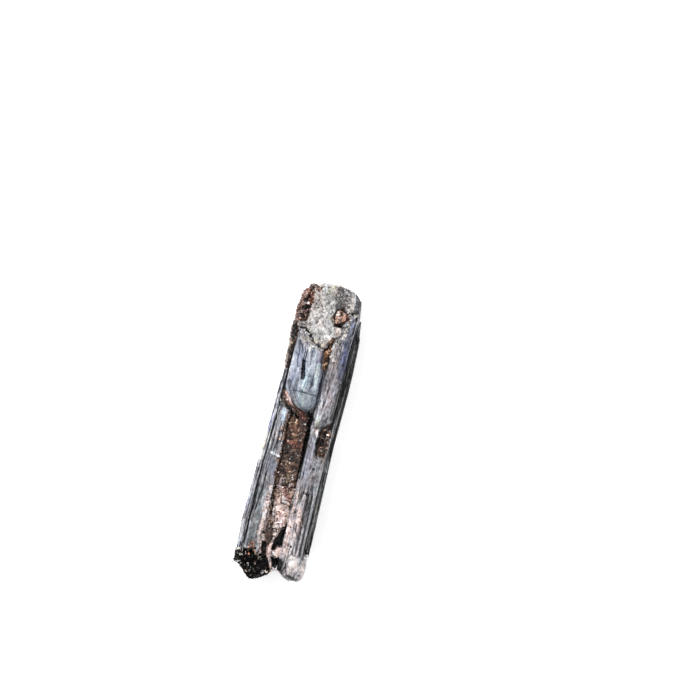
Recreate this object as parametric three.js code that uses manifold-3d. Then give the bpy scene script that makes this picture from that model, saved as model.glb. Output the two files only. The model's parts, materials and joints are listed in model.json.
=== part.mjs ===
// Kyanite blade cluster: parallel kyanite crystals with mica in the channel
// between them and a cap of schist on one end. It lies on its back.
//
// Millimetres. +Y runs along the blades towards the cap, +X to the right, +Z up.
// The origin is the middle of the underside of the whole cluster's box.

import * as THREE from 'three';
import { mergeVertices } from 'three/addons/utils/BufferGeometryUtils.js';
import Module from 'manifold-3d';

const wasm = await Module();
wasm.setup();

// ---------------------------------------------------------------- dimensions

const SEAM = 0.15; // open seam between two neighbouring crystals
const RIM = 0.65; // thickness of a plate of the rims
const BEVEL = 0.3; // worn edge of a crystal
const FOOT = -25.4; // where the blades break off above the mica foot
const SHOULDER = 28.2; // where the blades end under the cap
const BASE_TOP = 5.8; // top of the crystals that run the full length
const RIM_STEP = 0.9; // how much further in each rim plate starts, above and below

// The two long sides of the cluster, from the foot to the cap.
const LEFT_SIDE = [[-6.8, FOOT], [-7.1, -20], [-6.6, -7], [-6.2, 2], [-5.95, 8], [-5.75, 11.6]];
const RIGHT_SIDE = [[7.6, -23.5], [7.5, -12], [7.4, -1], [7.75, 10], [7.75, 14], [7.6, 20]];
const RIGHT_TIP = [[7.25, 22.3], [6.95, 23.6]]; // the outermost plate runs on to here

// -------------------------------------------------------------------- shapes

// A flat slab between two heights, with every rim bevelled.
function slab(outline, low, high, bevel = BEVEL) {
  const shape = new THREE.Shape(outline.map(([x, y]) => new THREE.Vector2(x, y)));
  const geometry = new THREE.ExtrudeGeometry(shape, {
    depth: high - low - 2 * bevel,
    bevelThickness: bevel,
    bevelSize: bevel,
    bevelOffset: -bevel,
    bevelSegments: 1,
  });
  return toSolid(geometry.translate(0, 0, low + bevel));
}

// The strip along a side line, from `inset` inside it and `width` across.
// Towards is +1 where inwards is +X and -1 where it is -X.
function strip(line, inset, width, towards) {
  const near = line.map(([x, y]) => [x + towards * inset, y]);
  const far = line.map(([x, y]) => [x + towards * (inset + width), y]);
  return near.concat(far.reverse());
}

// A rough round outline: a ring whose radius swells and shrinks as it goes round.
function ring(x, y, radius, swell, corners = 9) {
  return Array.from({ length: corners }, (_, i) => {
    const angle = (i / corners) * 2 * Math.PI;
    const r = radius + swell * Math.sin(3 * angle + 1);
    return [x + r * Math.cos(angle), y + r * Math.sin(angle)];
  });
}

function toSolid(geometry) {
  geometry.deleteAttribute('normal');
  geometry.deleteAttribute('uv');
  const merged = mergeVertices(geometry);
  return new wasm.Manifold(new wasm.Mesh({
    numProp: 3,
    vertProperties: merged.attributes.position.array,
    triVerts: Uint32Array.from(merged.index.array),
  }));
}

function toMesh(name, solid, material) {
  const { vertProperties, triVerts } = solid.getMesh();
  const geometry = new THREE.BufferGeometry();
  geometry.setAttribute('position', new THREE.BufferAttribute(vertProperties, 3));
  geometry.setIndex(new THREE.BufferAttribute(triVerts, 1));
  geometry.computeVertexNormals();
  const mesh = new THREE.Mesh(geometry, material);
  mesh.name = name;
  return mesh;
}

// ----------------------------------------------------------------- materials

const stone = (color, roughness) => new THREE.MeshStandardMaterial({ color, roughness, metalness: 0 });

const greyKyanite = () => stone(0x8d8b97, 0.4);
const blueKyanite = () => stone(0x8ea3bd, 0.25);
const rimKyanite = () => stone(0x5f6669, 0.4);
const brownMica = () => stone(0x5a3c30, 0.45);
const pinkMica = () => stone(0xb79a90, 0.45);
const schist = () => stone(0xa09a8f, 0.6);

// --------------------------------------------------- crystals, left to right

// Thin plates that lie against the outer blades like pages.
function leftRimOuter() {
  return slab(strip(LEFT_SIDE, 0, RIM, 1), 1.5, 6.2, 0.2);
}

function leftRimInner() {
  const line = LEFT_SIDE.slice(0, 4).concat([[-6.1, 4.5]]);
  return slab(strip(line, RIM + SEAM, RIM, 1), 1.5 - RIM_STEP, 7.2, 0.2);
}

// The left blade runs under the inset crystal, and stands high below it.
function leftBlade() {
  const whole = [
    [-5.2, FOOT], [-5.45, -19], [-4.95, -7], [-4.6, 2], [-4.5, 4.6], [-5.1, 5.0], [-5.0, 11.6],
    [-4.85, 12.2], [-4.85, SHOULDER], [-2.5, SHOULDER], [-2.6, 4], [-2.45, FOOT],
  ];
  const raised = [[-5.2, FOOT], [-5.45, -19], [-4.95, -7], [-4.55, 4.8], [-2.6, 3.1], [-2.45, FOOT]];
  return slab(whole, 0, BASE_TOP).add(slab(raised, 2, 7.9));
}

// The middle blade is the floor of the channel.
function middleBlade() {
  const outline = [
    [-2.3, FOOT], [-2.4, 4], [-2.3, SHOULDER], [1.9, SHOULDER],
    [1.9, -28.0], [0.85, -28.5], [0.85, FOOT],
  ];
  return slab(outline, 0, BASE_TOP - 0.2);
}

// The right blade runs under the upper blade, stands high below it, and ends in a rounded knob.
function rightBlade() {
  const whole = [
    [2.1, SHOULDER], [5.75, SHOULDER], [5.95, 25], [6.1, 23.6], [6.4, 22.3], [6.5, 20.9],
    [5.95, 20.5], [5.95, 14], [5.75, -1], [5.9, -12], [5.95, -24.6],
    [7.5, -24.9], [7.5, -26.9], [6.4, -28.7], [5.3, -29.45], [3.6, -28.7], [2.1, -28.4],
  ];
  const raised = [
    [2.1, 1.1], [4.35, 1.2], [4.4, -3.2], [5.1, -4.1], [5.85, -4.1], [5.9, -12], [5.95, -24.6],
    [7.2, -24.9], [7.2, -26.9], [6.2, -28.5], [5.2, -29.1], [3.9, -28.4], [3.7, -25.4], [2.1, -24.6],
  ];
  return slab(whole, 0, BASE_TOP + 0.6).add(slab(raised, 2, 8.2));
}

function rightRimInner() {
  return slab(strip(RIGHT_SIDE, RIM + SEAM, RIM, -1), 1.5 - RIM_STEP, 7.4, 0.2);
}

function rightRimOuter() {
  return slab(strip(RIGHT_SIDE.concat(RIGHT_TIP), 0, RIM, -1), 1.5, 6.2, 0.2);
}

// ------------------------------------------------- crystals that lie on them

// The clear blue crystal with a rounded tip, and the open slot in its face.
function insetBlade() {
  const outline = [
    [-4.5, 20.2], [-3.5, 20.1], [-1.9, 18.2], [-1.0, 17.2], [0, 17.4], [0.75, 16.6],
    [1.2, 16.6], [1.35, 14.4], [2.15, 12], [2.2, 7], [1.9, 5.5], [1.2, 4.6], [0.2, 4.05],
    [-1.2, 4.4], [-2.4, 5.1], [-3.9, 6.9], [-4.55, 8.2],
  ];
  const slot = [[-2.3, 10.5], [-1.3, 10.5], [-1.4, 14.3], [-2.2, 14.3]];
  return slab(outline, 6.1, 9.0, 0.4).subtract(slab(slot, 8.2, 9.6, 0.1));
}

// The upper blade ends below in a ragged break.
function upperRightBlade() {
  const outline = [
    [4.95, 25.3], [6.3, 25.3], [6.0, 18], [6.0, 8], [5.8, 3.2], [5.2, 2.6], [4.6, 1.9], [3.2, 1.4],
    [2.6, 2.2], [2.5, 9], [2.65, 18.3], [4.25, 19.9], [4.8, 22.4],
  ];
  return slab(outline, BASE_TOP + 0.8, 8.9);
}

// ------------------------------------------------------- schist and the mica

const NUGGET = { x: 3.1, y: 23.9, radius: 1.35, low: 7.4 };

// A sheet of schist over the ends of the blades, turned down over their tips.
function capSchist() {
  const sheet = [
    [-3.55, 29.4], [-2, 30.1], [0, 30.3], [1.5, 30.3], [4, 29.9], [5.2, 29.2], [6, 28.1], [6.45, 25.6],
    [4.7, 25.5], [4.5, 22.5], [4.0, 20.4], [2.6, 19.0], [1.4, 17.4], [0.8, 17.0], [0, 17.8],
    [-0.9, 17.5], [-2.2, 19.3], [-3.4, 20.45], [-5.2, 20.6], [-5.4, 21.6], [-3.6, 21.9],
  ];
  const end = [
    [-4.9, SHOULDER + 0.2], [-4.6, 29.2], [-2, 30.1], [0, 30.3], [1.5, 30.3], [4, 29.9],
    [5.2, 29.2], [5.9, SHOULDER + 0.2],
  ];
  const pocket = ring(NUGGET.x, NUGGET.y, NUGGET.radius + 0.3, 0.2);
  return slab(sheet, BASE_TOP + 0.8, 9.2, 0.5)
    .add(slab(end, 0.8, 8.6, 0.5))
    .subtract(slab(pocket, NUGGET.low - 0.3, 10));
}

function nuggetMica() {
  return slab(ring(NUGGET.x, NUGGET.y, NUGGET.radius, 0.2), NUGGET.low, 9.1);
}

function crownMica() {
  const outline = [
    [-5.85, 21.7], [-5.8, 25], [-5.4, 27.4], [-5.1, SHOULDER], [-3.8, SHOULDER], [-3.8, 22.2],
  ];
  const flank = [[-5.85, 21.7], [-5.8, 25], [-5.5, 26.7], [-5.05, 26.7], [-5.05, 21.7]];
  return slab(outline, 6.0, 8.7).add(slab(flank, 3.2, 8, 0.15));
}

function leftEdgeMica() {
  const outline = [
    [-5.7, 12.0], [-5.8, 16], [-6.1, 20.5], [-5.85, 21.3], [-5.1, 21.3], [-5.05, 12.0],
  ];
  return slab(outline, 3, 7, 0.2);
}

function seamMica() {
  const outline = [[1.5, 16.9], [2.35, 18.0], [2.3, 13.6], [1.95, 13.0], [1.6, 14.5]];
  return slab(outline, 6.6, 8.3, 0.15);
}

// Brown mica in the upper half of the channel, with a collar round the tip of the inset crystal.
function channelMica() {
  const channel = [
    [-2.4, 4.2], [-1.2, 3.9], [0.2, 3.6], [1.2, 4.1], [1.9, 3.5], [1.9, -11.2], [-2.3, -11.2],
  ];
  const collar = [
    [-4.85, 7.4], [-3.5, 5.55], [-2.6, 4.7], [-1.3, 4.0], [-2.2, 3.2], [-3.2, 4.0], [-4.6, 5.3],
  ];
  return slab(channel, BASE_TOP, 7.4).add(slab(collar, 6.0, 7.9, 0.25));
}

// Pale mica in the lower half, with a hole beside the right blade.
function channelMuscovite() {
  const outline = [
    [-2.3, -11.5], [1.9, -11.5], [1.9, -19.3], [0.7, -19.8], [0.4, -22.8], [1.9, -23.4],
    [1.9, -25.3], [-2.3, -25.3],
  ];
  return slab(outline, BASE_TOP, 7.6);
}

function pocketMica() {
  const outline = [
    [4.65, 1.4], [5.2, 2.2], [5.75, 2.7], [5.65, -1], [5.7, -3.4], [5.2, -3.8], [4.65, -2.9],
  ];
  return slab(outline, BASE_TOP + 0.8, 7.9, 0.2);
}

// The broken foot.
function footMica() {
  const outline = [
    [-6.7, FOOT - 0.3], [-6.6, -28], [-5.4, -28.7], [-4.7, -29.1], [-3.8, -30.3], [-2.6, -30.8],
    [-1.6, -30.5], [0.2, -29.3], [0.6, -28.6], [0.6, FOOT - 0.3],
  ];
  return slab(outline, 0.5, 7.2, 0.6);
}

// ------------------------------------------------------------------- cluster

const cluster = new THREE.Group();
cluster.add(
  toMesh('left_rim_outer', leftRimOuter(), rimKyanite()),
  toMesh('left_rim_inner', leftRimInner(), rimKyanite()),
  toMesh('left_blade', leftBlade(), greyKyanite()),
  toMesh('middle_blade', middleBlade(), greyKyanite()),
  toMesh('right_blade', rightBlade(), greyKyanite()),
  toMesh('right_rim_inner', rightRimInner(), rimKyanite()),
  toMesh('right_rim_outer', rightRimOuter(), rimKyanite()),
  toMesh('inset_blade', insetBlade(), blueKyanite()),
  toMesh('upper_right_blade', upperRightBlade(), blueKyanite()),
  toMesh('cap_schist', capSchist(), schist()),
  toMesh('nugget_mica', nuggetMica(), brownMica()),
  toMesh('crown_mica', crownMica(), brownMica()),
  toMesh('left_edge_mica', leftEdgeMica(), brownMica()),
  toMesh('seam_mica', seamMica(), brownMica()),
  toMesh('channel_mica', channelMica(), brownMica()),
  toMesh('channel_muscovite', channelMuscovite(), pinkMica()),
  toMesh('pocket_mica', pocketMica(), brownMica()),
  toMesh('foot_mica', footMica(), brownMica()),
);

// Bring the middle of the underside of the cluster's box to the origin.
const box = new THREE.Box3().setFromObject(cluster);
const middle = box.getCenter(new THREE.Vector3());
const group = new THREE.Group();
cluster.position.set(-middle.x, -middle.y, -box.min.z);
group.add(cluster);

export default group;
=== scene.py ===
# %% [markdown]
# # Kyanite blade cluster
#
# Kyanite grows as long flat blades, and a bundle of them often closes round mica.
# This file models one loose piece: grey and blue blades side by side, brown and
# pink mica in the channel between them, a cap of schist on one end and a broken
# foot of dark mica on the other. It lies on its back, in metres, with +Y along
# the blades towards the cap.
#
# The frame comes first. It holds a plain solid for every piece, and each solid's
# box says where the finished piece goes.

import json
import math
from collections import namedtuple

import bpy
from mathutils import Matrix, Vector

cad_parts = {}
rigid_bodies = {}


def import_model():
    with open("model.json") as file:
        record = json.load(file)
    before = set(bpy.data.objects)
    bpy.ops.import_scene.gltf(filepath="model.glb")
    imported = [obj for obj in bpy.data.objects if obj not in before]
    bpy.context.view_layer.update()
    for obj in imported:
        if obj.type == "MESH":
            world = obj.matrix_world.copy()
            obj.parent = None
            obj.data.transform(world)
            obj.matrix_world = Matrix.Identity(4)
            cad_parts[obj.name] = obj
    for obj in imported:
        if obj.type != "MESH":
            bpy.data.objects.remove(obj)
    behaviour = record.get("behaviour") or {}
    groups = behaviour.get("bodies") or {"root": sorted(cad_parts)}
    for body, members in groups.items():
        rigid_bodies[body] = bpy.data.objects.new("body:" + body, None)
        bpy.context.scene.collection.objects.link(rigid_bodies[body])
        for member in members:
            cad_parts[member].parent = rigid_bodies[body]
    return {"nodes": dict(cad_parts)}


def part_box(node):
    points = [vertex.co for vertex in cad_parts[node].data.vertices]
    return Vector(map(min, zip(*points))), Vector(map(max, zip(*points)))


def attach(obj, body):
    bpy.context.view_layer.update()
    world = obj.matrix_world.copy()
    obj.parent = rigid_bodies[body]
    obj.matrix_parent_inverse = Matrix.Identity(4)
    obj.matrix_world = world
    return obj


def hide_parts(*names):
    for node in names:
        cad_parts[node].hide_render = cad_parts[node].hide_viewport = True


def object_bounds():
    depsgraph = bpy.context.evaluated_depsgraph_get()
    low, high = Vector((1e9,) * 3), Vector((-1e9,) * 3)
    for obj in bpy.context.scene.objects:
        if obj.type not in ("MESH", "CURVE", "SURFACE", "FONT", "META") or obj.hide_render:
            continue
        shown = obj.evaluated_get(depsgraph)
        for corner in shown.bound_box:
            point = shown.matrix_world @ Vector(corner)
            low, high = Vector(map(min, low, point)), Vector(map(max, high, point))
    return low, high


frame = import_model()
cad_box = [list(corner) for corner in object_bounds()]
MM = 0.001
print("solids in the frame:", len(frame["nodes"]))

# %% [markdown]
# ## Helpers for modelling
#
# An operator acts on everything that is selected, and the frame leaves its solids
# selected. So every step here starts by selecting what it means to change: whole
# objects with `only`, and edges with a test on their place or direction.

# %% Selecting
STRAIGHT = 0.999


def only(*pieces):
    """Select these objects and nothing else, and make the first one active."""
    bpy.ops.object.select_all(action="DESELECT")
    for piece in pieces:
        piece.select_set(True)
    bpy.context.view_layer.objects.active = pieces[0]


def pick_edges(piece, test):
    """In edit mode, select the edges of a piece that pass a test, and no others."""
    bpy.ops.mesh.select_mode(type="EDGE")
    bpy.ops.mesh.select_all(action="DESELECT")
    bpy.ops.object.mode_set(mode="OBJECT")
    for edge in piece.data.edges:
        edge.select = bool(test(edge))
    bpy.ops.object.mode_set(mode="EDIT")


def edge_direction(piece):
    """A test for edges: the axis along which an edge runs, or None if it is askew."""
    points = piece.data.vertices

    def direction(edge):
        a, b = (points[i].co for i in edge.vertices)
        along = [abs(value) for value in (b - a).normalized()]
        return along.index(max(along)) if max(along) > STRAIGHT else None

    return direction


def finish_mesh(piece, angle=40):
    """Smooth the shading, except across edges sharper than an angle in degrees."""
    only(piece)
    bpy.ops.object.shade_smooth_by_angle(angle=math.radians(angle))


def apply_modifier(piece, kind, **settings):
    """Give a piece a modifier with these settings and apply it."""
    only(piece)
    modifier = piece.modifiers.new(kind.title(), kind)
    for name, value in settings.items():
        setattr(modifier, name, value)
    bpy.ops.object.modifier_apply(modifier=modifier.name)


# %% [markdown]
# A primitive is added at its size and place, and then that size and place are put
# into its mesh, so that the object itself sits at the origin. A block fills the
# space between two corners, and a copy shares nothing with what it was made from.

# %% Starting a piece
def settle(name):
    """Name the newest primitive, and put its place, turn and size into its mesh."""
    piece = bpy.context.object
    piece.name = piece.data.name = name
    bpy.ops.object.transform_apply(location=True, rotation=True, scale=True)
    return piece


def block(name, low, high):
    """A box between two corners."""
    bpy.ops.object.select_all(action="DESELECT")
    bpy.ops.mesh.primitive_cube_add(size=1, location=(low + high) / 2, scale=high - low)
    return settle(name)


def copy_of(source, name):
    """A copy of an object, with its own mesh."""
    piece = bpy.data.objects.new(name, source.data.copy())
    piece.data.name = name
    bpy.context.scene.collection.objects.link(piece)
    return piece


# %% [markdown]
# ## Helpers for nodes
#
# A material and a geometry-nodes group are both node trees, and both are mostly
# arithmetic on a position. Added one by one, their nodes would fill pages. A
# `Wire` wraps one socket, so that `wire * 2 + 0.1` adds the Math nodes.

# %% Wire
class Wire:
    """One output socket, which can be used in sums."""

    def __init__(self, board, socket):
        self.board, self.socket = board, socket

    def out(self, name):
        """Another output of the same node."""
        return Wire(self.board, self.socket.node.outputs[name])

    def __add__(self, other):
        return self.board.maths("ADD", self, other)

    def __sub__(self, other):
        return self.board.maths("SUBTRACT", self, other)

    def __rsub__(self, other):
        return self.board.maths("SUBTRACT", other, self)

    def __mul__(self, other):
        return self.board.maths("MULTIPLY", self, other)

    def __truediv__(self, other):
        return self.board.maths("DIVIDE", self, other)

    def __pow__(self, other):
        return self.board.maths("POWER", self, other)

    __radd__ = __add__
    __rmul__ = __mul__


# %% [markdown]
# A `Board` wraps a tree. Its one method `node` adds any other node: its type, its
# settings, which are set first, and what goes into its sockets. The other methods
# are short names for the nodes that this cluster needs again and again.

# %% Board
class Board:
    """A node tree to wire up."""

    def __init__(self, tree):
        self.tree = tree

    def node(self, kind, settings=None, sockets=None):
        """Add a node. A ramp's or a curve's stops are given as the setting `stops`."""
        node = self.tree.nodes.new(kind)
        for name, value in (settings or {}).items():
            if name != "stops":
                setattr(node, name, value)
            elif kind == "ShaderNodeValToRGB":
                self.set_ramp(node.color_ramp, value)
            else:
                self.set_curve(node.mapping, value)
        for name, value in (sockets or {}).items():
            for wire in value if isinstance(value, list) else [value]:
                if isinstance(wire, Wire):
                    self.tree.links.new(wire.socket, node.inputs[name])
                else:
                    node.inputs[name].default_value = wire
        return Wire(self, node.outputs[0]) if node.outputs else None

    @staticmethod
    def set_ramp(ramp, stops):
        while len(ramp.elements) < len(stops):
            ramp.elements.new(1.0)
        for element, (place, colour) in zip(ramp.elements, stops):
            element.position = place
            element.color = (*colour, 1.0)

    @staticmethod
    def set_curve(mapping, stops):
        mapping.extend = "HORIZONTAL"
        points = mapping.curves[0].points
        for place, value in stops[2:]:
            points.new(place, value)
        for point, stop in zip(points, sorted(stops)):
            point.location = stop
            point.handle_type = "AUTO_CLAMPED"
        mapping.update()

    def maths(self, operation, *values):
        """A Math node."""
        return self.node("ShaderNodeMath", {"operation": operation}, dict(enumerate(values)))

    def vector(self, operation, *values, scale=None):
        """A Vector Math node."""
        sockets = dict(enumerate(values))
        if scale is not None:
            sockets["Scale"] = scale
        return self.node("ShaderNodeVectorMath", {"operation": operation}, sockets)

    def split(self, vector):
        """The X, Y and Z of a vector."""
        x = self.node("ShaderNodeSeparateXYZ", sockets={0: vector})
        return x, x.out("Y"), x.out("Z")

    def join(self, x, y, z):
        """A vector from its X, Y and Z."""
        return self.node("ShaderNodeCombineXYZ", sockets={0: x, 1: y, 2: z})

    def blend(self, under, over, factor, mode="MIX"):
        """One colour over another. The Mix node's colours are its seventh and eighth sockets."""
        settings = {"data_type": "RGBA", "blend_type": mode}
        mix = self.node("ShaderNodeMix", settings, {0: factor, 6: under, 7: over})
        return Wire(self, mix.socket.node.outputs[2])

    def ramp(self, value, stops):
        """A colour ramp."""
        return self.node("ShaderNodeValToRGB", {"stops": stops}, {"Fac": value})

    def chance(self, low, high, seed):
        """A random number, or a random vector where low and high are vectors."""
        if isinstance(low, tuple):
            settings, sockets = {"data_type": "FLOAT_VECTOR"}, {0: low, 1: high, "Seed": seed}
            return self.node("FunctionNodeRandomValue", settings, sockets)
        settings, sockets = {"data_type": "FLOAT"}, {2: low, 3: high, "Seed": seed}
        number = self.node("FunctionNodeRandomValue", settings, sockets)
        return Wire(self, number.socket.node.outputs[1])

    def between(self, value, low, high, start=0.0, end=1.0):
        """A smooth step: `start` below `low`, `end` above `high`."""
        wanted = {"Value": value, "From Min": low, "From Max": high, "To Min": start, "To Max": end}
        return self.node("ShaderNodeMapRange", {"interpolation_type": "SMOOTHSTEP"}, wanted)

    def stretched(self, place, size, shift):
        """A place measured in lumps with a size for each axis, and shifted."""
        return self.vector("MULTIPLY_ADD", place, tuple(1 / s for s in size), shift)

    def grain(self, place, size, seed=0.0, detail=3.0, roughness=0.55):
        """Cloudy noise from 0 to 1, with a lump size for each axis."""
        place = self.stretched(place, size, (seed, 7 * seed, 3 * seed))
        sockets = {"Vector": place, "Scale": 1.0, "Detail": detail, "Roughness": roughness}
        return self.node("ShaderNodeTexNoise", {"normalize": True}, sockets)

    def cells(self, place, size, seed=0.0, feature="F1", **sockets):
        """Voronoi cells with a size for each axis."""
        place = self.stretched(place, size, (seed, 5 * seed, 2 * seed))
        sockets = {"Vector": place, "Scale": 1.0, **sockets}
        return self.node("ShaderNodeTexVoronoi", {"feature": feature}, sockets)


# %% [markdown]
# Geometry nodes change a mesh as a modifier does. Each group here starts with a
# board and the geometry that comes in, and ends when it is applied. Numbers that
# the colour needs later are stored on the points.

# %% Geometry groups
def geometry_board(name):
    """A new geometry-nodes group, and the wire of the geometry that comes in."""
    tree = bpy.data.node_groups.new(name, "GeometryNodeTree")
    for way in ("INPUT", "OUTPUT"):
        tree.interface.new_socket(name="Geometry", in_out=way, socket_type="NodeSocketGeometry")
    board = Board(tree)
    return board, board.node("NodeGroupInput")


def place_in_mm(board):
    """The place of each point, in millimetres."""
    return board.vector("SCALE", board.node("GeometryNodeInputPosition"), scale=1 / MM)


def apply_geometry(piece, board, geometry):
    """End a geometry-nodes group with this geometry, and apply it to a piece."""
    board.node("NodeGroupOutput", sockets={0: geometry})
    apply_modifier(piece, "NODES", node_group=board.tree)


def keep_number(board, geometry, name, value):
    """Store a number on every point, for the material to read."""
    sockets = {"Geometry": geometry, "Name": name, "Value": value}
    return board.node("GeometryNodeStoreNamedAttribute", {"data_type": "FLOAT"}, sockets)


# %% [markdown]
# ## Marks
#
# Between the fine texture and the outline of a piece lie the features that make
# it this one: a crevice, a hole, a bright crest, a blue zone, a stain. Each could
# be sculpted by hand, or painted on a map. Here each is a `Mark`: a short line
# seen from above, with a radius. It can raise or cut the surface, make it lighter
# or darker, and tint it. Lighter or darker is the thing's own colour in some marks,
# and painted light in others: painted shade in crevices, holes and shadows, and
# painted highlights and glints. The modelling and the material of a piece read the
# same list, so a hole gets painted shade where it is deep. Places are in
# millimetres from the cluster's middle line and from its foot.

# %% Marks
Mark = namedtuple("Mark", "start end radius rise shade tint")
FOOT_END = cad_box[0][1] / MM
MIDDLE = (cad_box[0][0] + cad_box[1][0]) / 2 / MM
NO_MARK_BELOW = 2.0
FULL_MARK_ABOVE = 5.0


def mark(start, end=None, radius=0.5, rise=0.0, shade=0.0, tint=None):
    """One feature, at a point or along a line. Radius and rise are in millimetres, and a shade
    of 1 is the whole length of a colour ramp. Shade is the feature's own colour in some marks,
    and painted shade or a painted highlight in others."""
    start, end = (Vector((x + MIDDLE, y + FOOT_END, 0)) for x, y in (start, end or start))
    return Mark(start, end, radius, rise, shade, tint)


def mark_masks(board, place, marks, fray=0.45):
    """How much each mark covers a place: 1 on its line, 0 outside, with a frayed edge. A mark
    that runs over a side face fades out low down."""
    flat = board.vector("MULTIPLY", place, (1, 1, 0))
    ragged = (board.grain(place, (0.5, 0.7, 0.5), 31.0, detail=3.0) - 0.5) * (4 * fray)
    shown = board.between(board.split(place)[2] + ragged * 2, NO_MARK_BELOW, FULL_MARK_ABOVE)
    masks = []
    for item in marks:
        line = item.end - item.start
        off = board.vector("SUBTRACT", flat, tuple(item.start))
        if line.length > 0:
            share = board.vector("DOT_PRODUCT", off, tuple(line / line.length_squared)).out("Value")
            share = board.maths("MAXIMUM", 0.0, board.maths("MINIMUM", 1.0, share))
            off = board.vector("SUBTRACT", off, board.vector("SCALE", tuple(line), scale=share))
        reach = board.vector("LENGTH", off).out("Value") / item.radius
        masks.append(board.between(reach + ragged, 0.55, 1.2, 1.0, 0.0) * shown)
    return masks


def total(board, marks, masks, field):
    """The rise or the shade that all the marks add at a place."""
    added = 0.0
    for item, mask in zip(marks, masks):
        value = getattr(item, field)
        if value:
            added = mask * value + added
    return added


# %% [markdown]
# ## How a kyanite blade is made
#
# A blade is a long box whose faces are covered by fine parallel steps, because
# kyanite cleaves along its length into laths, and each lath ends at its own
# height and its own length. A voxel remesh would leave a staircase on lines that
# run the full length. So the blade starts as a box with many narrow columns
# along it: a cube, its long edges bevelled, and its edges subdivided across and
# along. Geometry nodes then carve the box while it is straight, and only at the
# end is it fitted to the outline of its solid, so that the laths follow it.

# %% Blade blank
def blade_blank(name, node, column=0.08, row=0.25, edge=0.35):
    """A box over a CAD solid, divided into narrow columns along Y. Sizes in millimetres."""
    low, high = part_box(node)
    size = high - low
    piece = block(name, low, high)
    bpy.ops.object.mode_set(mode="EDIT")
    direction = edge_direction(piece)
    pick_edges(piece, lambda item: direction(item) == 1)
    bpy.ops.mesh.bevel(offset=edge * MM, segments=2, profile=0.6)
    for axis, spacing in ((0, column), (2, column * 1.4), (1, row)):
        direction = edge_direction(piece)
        pick_edges(piece, lambda item: direction(item) == axis)
        cuts = max(1, round(size[axis] / (spacing * MM)))
        bpy.ops.mesh.subdivide(number_cuts=cuts, quadcorner="INNERVERT")
    bpy.ops.object.mode_set(mode="OBJECT")
    print(name, "blank:", len(piece.data.polygons), "faces")
    return piece


# %% [markdown]
# ## Fitting a straight blade to its outline
#
# Real blades narrow, lean and step along their length. The CAD solid of each
# blade already does, so rays shot at it from both sides, from above and from
# below measure it at stations along the blade. The four lines that they give
# become four curves, which squeeze the straight box to the blade's own shape.
# Where rays can't give a side, such as a slope down to a tip, its own few stops
# are given instead, as shares of the box.

# %% Outline of a solid
INSIDE_END = 0.004


def outline(node, given, stations=36):
    """How far out each side of a CAD solid is, along the blade, as fractions of its box."""
    solid = frame["nodes"][node]
    low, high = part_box(node)
    size = high - low
    middle = (low + high) / 2
    sides = {"left": [], "right": [], "under": [], "top": []}
    for i in range(stations + 1):
        place = min(max(i / stations, INSIDE_END), 1 - INSIDE_END)
        y = low.y + place * size.y
        span = []
        for way in (1, -1):
            start = Vector((middle.x - way * size.x, y, middle.z))
            hit, point, _, _ = solid.ray_cast(start, Vector((way, 0, 0)))
            span.append((point.x - low.x) / size.x if hit else 0.5)
        x = low.x + size.x * sum(span) / 2
        for way in (1, -1):
            start = Vector((x, y, middle.z - way * size.z))
            hit, point, _, _ = solid.ray_cast(start, Vector((0, 0, way)))
            span.append((point.z - low.z) / size.z if hit else 0.5)
        for side, value in zip(sides, span):
            sides[side].append((place, value))
    return {**sides, **given}


# %% Fit to the outline
def fit(board, node, straight, run, given, spread):
    """Squeeze places in the straight box to the outline of a solid. Run is the share of its length."""
    low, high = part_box(node)
    size = high - low
    curves = {side: board.node("ShaderNodeFloatCurve", {"stops": stops}, {"Value": run})
              for side, stops in outline(node, given).items()}
    x, y, z = board.split(straight)
    u = (x * MM - low.x) / size.x
    w = (z * MM - low.z) / size.z
    extra = spread * MM / size.x
    u = curves["left"] - extra + u * (curves["right"] - curves["left"] + 2 * extra)
    w = curves["under"] + w * (curves["top"] - curves["under"])
    height = board.maths("MAXIMUM", w * size.z + low.z, 0.0)
    return board.join(u * size.x + low.x, y * MM, height)


# %% [markdown]
# ## Carving the laths
#
# In the straight box, stretched Voronoi cells are the laths: each has a random
# height, and a furrow runs round it that opens here and there into a crack.
# Cloudy noise stretched along Y adds fine lines, and round noise adds chips. The
# ends are pushed in or out by a random length for each lath, which leaves them
# splintered. The height, lower still in the cracks, is also stored on the points
# as `relief`, because the colour paints shade into low places and
# light onto high ones. Each lath's random number is stored as `tone`, because the
# colour follows it.

# %% Carve a blade
SPLINTERED_END = 3.0 * MM


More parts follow.
